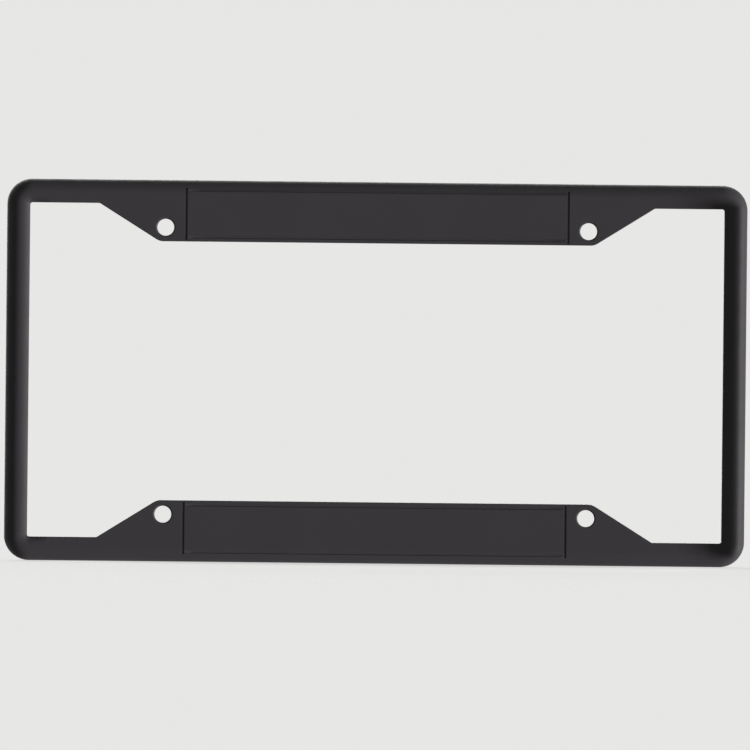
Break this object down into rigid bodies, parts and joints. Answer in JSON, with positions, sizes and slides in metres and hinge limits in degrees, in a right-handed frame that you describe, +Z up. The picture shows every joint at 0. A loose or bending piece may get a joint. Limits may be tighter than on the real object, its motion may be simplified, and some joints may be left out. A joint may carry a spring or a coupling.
{
  "type": "number plate frame",
  "caption": "Plain black moulded frame that screws on over a vehicle's number plate, with wide panels above and below the window and rounded outer edges.",
  "frame": {"origin": "middle of the screw holes, on the plane where the plate's face lies", "axes": "+X along the frame's width, to the right as seen from in front; +Y back, towards the vehicle; +Z up"},
  "size_m": [0.3116, 0.0082, 0.1606],
  "materials": {
    "frame": "fine satin grain, charcoal black"
  },
  "bodies": {
    "root": {"frame": "frame"}
  },
  "joints": []
}
